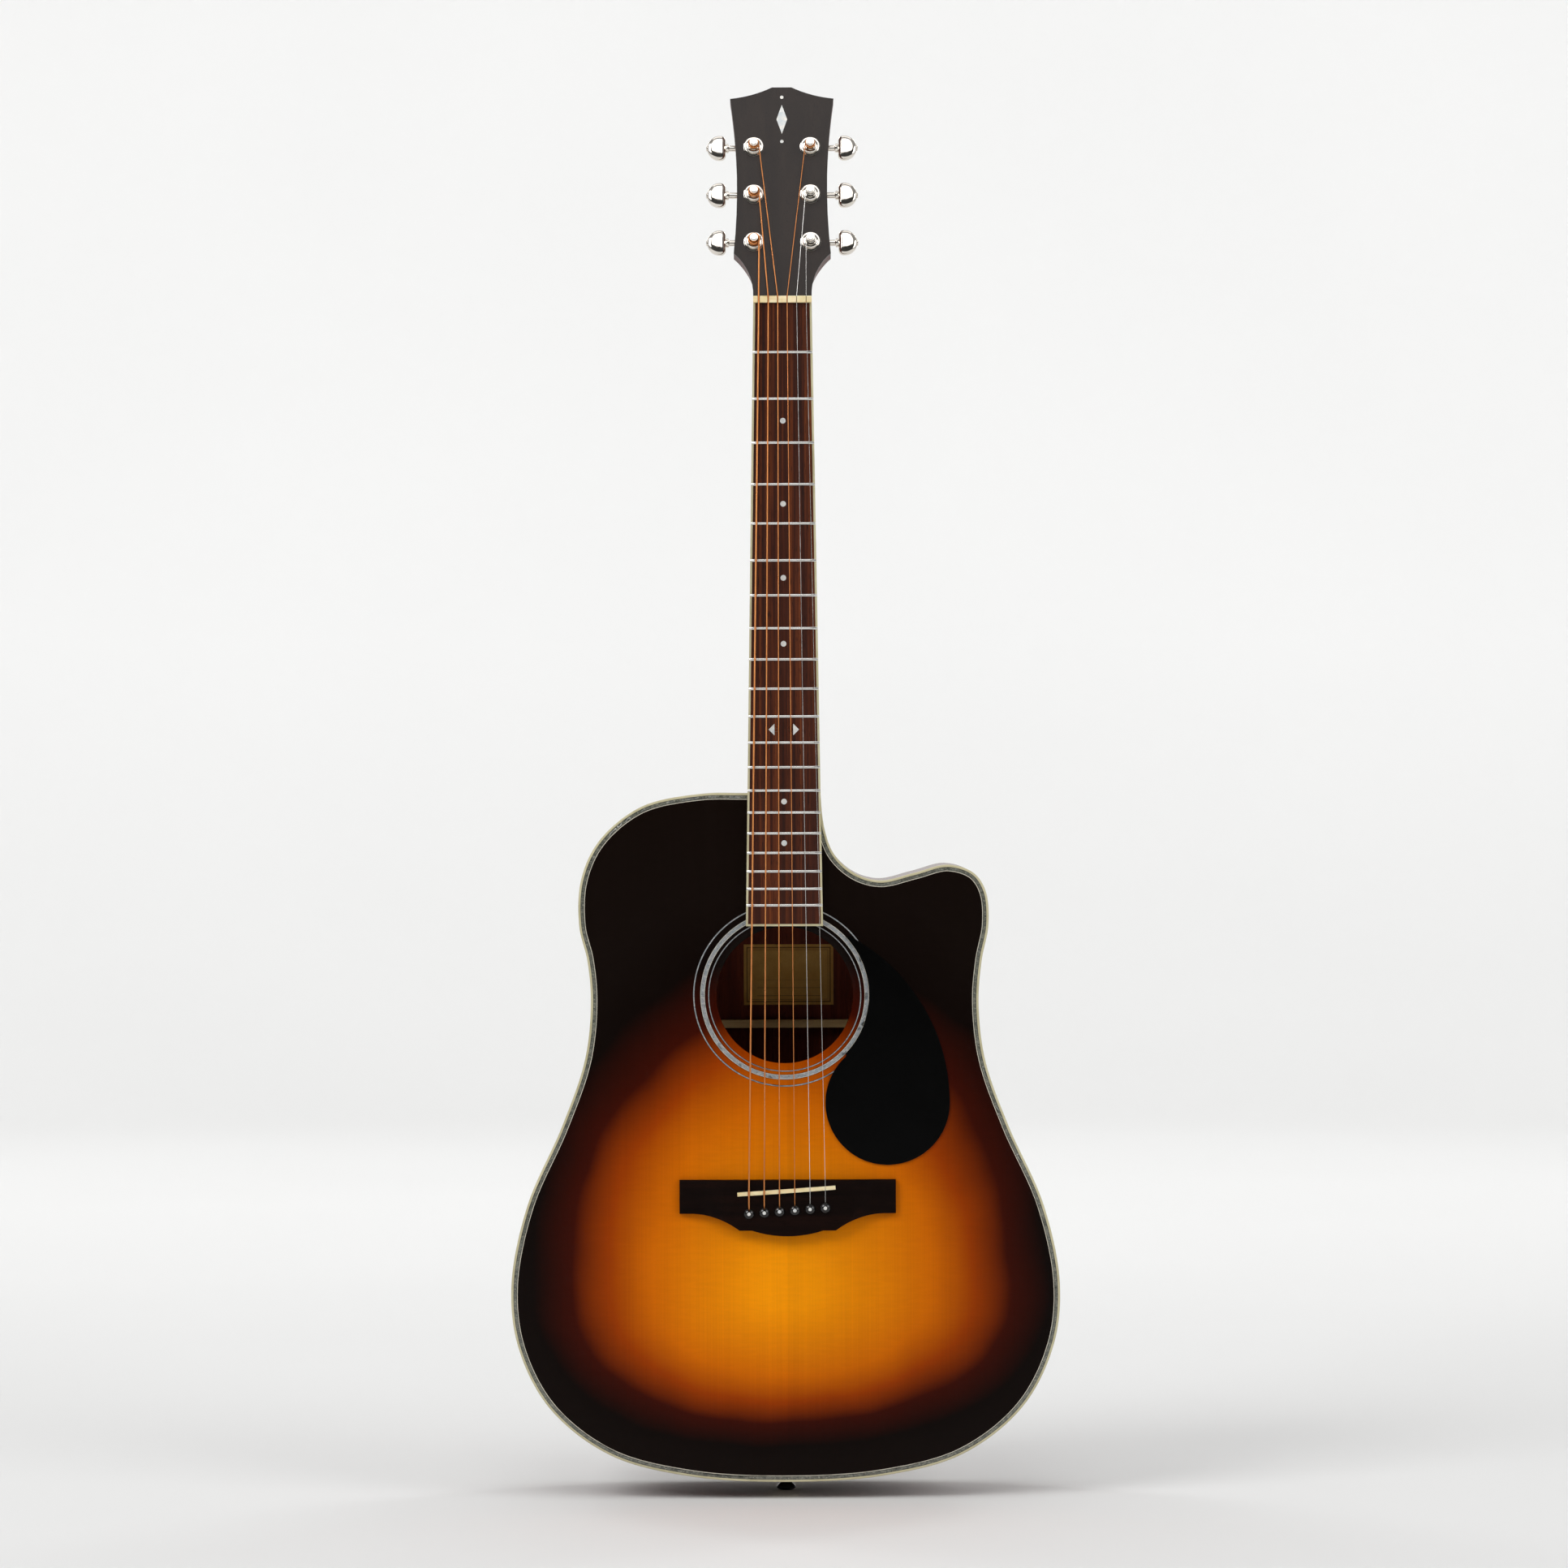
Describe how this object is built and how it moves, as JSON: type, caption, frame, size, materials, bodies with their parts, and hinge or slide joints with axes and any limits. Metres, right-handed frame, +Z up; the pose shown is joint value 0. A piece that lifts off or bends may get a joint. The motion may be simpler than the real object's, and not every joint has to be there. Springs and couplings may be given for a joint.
{
  "type": "acoustic guitar",
  "caption": "Steel-string acoustic guitar with a dreadnought body, a rounded cutaway, a sunburst top and worm-geared tuners.",
  "frame": {"origin": "middle of the body across and in depth, at the outer face of the strap button under the tail", "axes": "+Z up the neck, -Y out of the soundboard, +X to the treble side with the cutaway"},
  "size_m": [0.4064, 0.1304, 1.0501],
  "materials": {
    "spruce_burst": "gloss sunburst lacquer over spruce",
    "mahogany": "gloss lacquer over dark red mahogany",
    "inner_wood": "bare wood",
    "brace_spruce": "bare spruce",
    "neck_wood": "satin lacquer over mahogany",
    "rosewood": "oiled, unlacquered",
    "ebony": "satin",
    "binding": "gloss",
    "pearl": "gloss, shell-like",
    "bone": "polished",
    "guard_plastic": "gloss",
    "pin_plastic": "satin",
    "paper": "matte paper",
    "chrome": "polished chrome plate",
    "rod_steel": "plain steel and brass",
    "fret_steel": "polished nickel silver",
    "bronze": "phosphor bronze winding",
    "string_steel": "tinned plain steel"
  },
  "bodies": {
    "body": {"soundboard": "spruce_burst", "back_plate": "mahogany", "side_bass": "mahogany", "side_treble": "mahogany", "end_graft": "binding", "neck_block": "inner_wood", "tail_block": "inner_wood", "lining_top": "inner_wood", "lining_back": "inner_wood", "binding_top": "binding", "binding_back": "binding", "purfling": "pearl", "rosette": "pearl", "x_brace": "brace_spruce", "transverse_brace": "brace_spruce", "tone_bars": "brace_spruce", "finger_braces": "brace_spruce", "sound_hole_braces": "brace_spruce", "bridge_plate": "inner_wood", "back_braces": "brace_spruce", "back_strip": "inner_wood", "label": "paper", "pickguard": "guard_plastic", "bridge": "ebony", "saddle": "bone", "bridge_pins": "pin_plastic", "pin_dots": "pearl", "end_pin": "pin_plastic", "neck_shaft": "neck_wood", "heel": "neck_wood", "heel_cap": "binding", "headstock": "neck_wood", "head_veneer": "ebony", "head_inlay": "pearl", "truss_rod": "rod_steel", "fretboard": "rosewood", "fretboard_binding": "binding", "frets": "fret_steel", "dot_inlays": "pearl", "octave_inlay": "pearl", "nut": "bone", "wound_strings": "bronze", "plain_strings": "string_steel", "tuner_housings": "chrome", "tuner_bushings": "chrome", "tuner_washers": "chrome", "tuner_screws": "chrome"},
    "truss_nut": {"truss_nut": "rod_steel"},
    "tuner_button_1": {"tuner_button_1": "chrome"},
    "tuner_button_2": {"tuner_button_2": "chrome"},
    "tuner_button_3": {"tuner_button_3": "chrome"},
    "tuner_button_4": {"tuner_button_4": "chrome"},
    "tuner_button_5": {"tuner_button_5": "chrome"},
    "tuner_button_6": {"tuner_button_6": "chrome"},
    "tuner_post_1": {"tuner_post_1": "chrome"},
    "tuner_post_2": {"tuner_post_2": "chrome"},
    "tuner_post_3": {"tuner_post_3": "chrome"},
    "tuner_post_4": {"tuner_post_4": "chrome"},
    "tuner_post_5": {"tuner_post_5": "chrome"},
    "tuner_post_6": {"tuner_post_6": "chrome"}
  },
  "joints": [
    {"name": "truss_nut_turn", "type": "hinge", "parent": "body", "child": "truss_nut", "pos_m": [0, -0.0425, 0.446], "axis": [0, 0, 1], "range_deg": [-180, 180]},
    {"name": "button_1_turn", "type": "hinge", "parent": "body", "child": "tuner_button_1", "pos_m": [-0.021, -0.02292, 0.93283], "axis": [1, 0, 0], "continuous": true},
    {"name": "button_2_turn", "type": "hinge", "parent": "body", "child": "tuner_button_2", "pos_m": [-0.021, -0.01385, 0.96922], "axis": [1, 0, 0], "continuous": true},
    {"name": "button_3_turn", "type": "hinge", "parent": "body", "child": "tuner_button_3", "pos_m": [-0.021, -0.0048, 1.00551], "axis": [1, 0, 0], "continuous": true},
    {"name": "button_4_turn", "type": "hinge", "parent": "body", "child": "tuner_button_4", "pos_m": [0.021, -0.0048, 1.00551], "axis": [1, 0, 0], "continuous": true},
    {"name": "button_5_turn", "type": "hinge", "parent": "body", "child": "tuner_button_5", "pos_m": [0.021, -0.01385, 0.96922], "axis": [1, 0, 0], "continuous": true},
    {"name": "button_6_turn", "type": "hinge", "parent": "body", "child": "tuner_button_6", "pos_m": [0.021, -0.02292, 0.93283], "axis": [1, 0, 0], "continuous": true},
    {"name": "post_1_turn", "type": "hinge", "parent": "body", "child": "tuner_post_1", "pos_m": [-0.021, -0.04174, 0.93134], "axis": [0, 0.9703, -0.2419], "continuous": true},
    {"name": "post_2_turn", "type": "hinge", "parent": "body", "child": "tuner_post_2", "pos_m": [-0.021, -0.03267, 0.96773], "axis": [0, 0.9703, -0.2419], "continuous": true},
    {"name": "post_3_turn", "type": "hinge", "parent": "body", "child": "tuner_post_3", "pos_m": [-0.021, -0.02362, 1.00402], "axis": [0, 0.9703, -0.2419], "continuous": true},
    {"name": "post_4_turn", "type": "hinge", "parent": "body", "child": "tuner_post_4", "pos_m": [0.021, -0.02362, 1.00402], "axis": [0, 0.9703, -0.2419], "continuous": true},
    {"name": "post_5_turn", "type": "hinge", "parent": "body", "child": "tuner_post_5", "pos_m": [0.021, -0.03267, 0.96773], "axis": [0, 0.9703, -0.2419], "continuous": true},
    {"name": "post_6_turn", "type": "hinge", "parent": "body", "child": "tuner_post_6", "pos_m": [0.021, -0.04174, 0.93134], "axis": [0, 0.9703, -0.2419], "continuous": true}
  ],
  "couplings": [
    {"joint": "post_1_turn", "follows": "button_1_turn", "ratio": -0.066667},
    {"joint": "post_2_turn", "follows": "button_2_turn", "ratio": -0.066667},
    {"joint": "post_3_turn", "follows": "button_3_turn", "ratio": -0.066667},
    {"joint": "post_4_turn", "follows": "button_4_turn", "ratio": -0.066667},
    {"joint": "post_5_turn", "follows": "button_5_turn", "ratio": -0.066667},
    {"joint": "post_6_turn", "follows": "button_6_turn", "ratio": -0.066667}
  ]
}
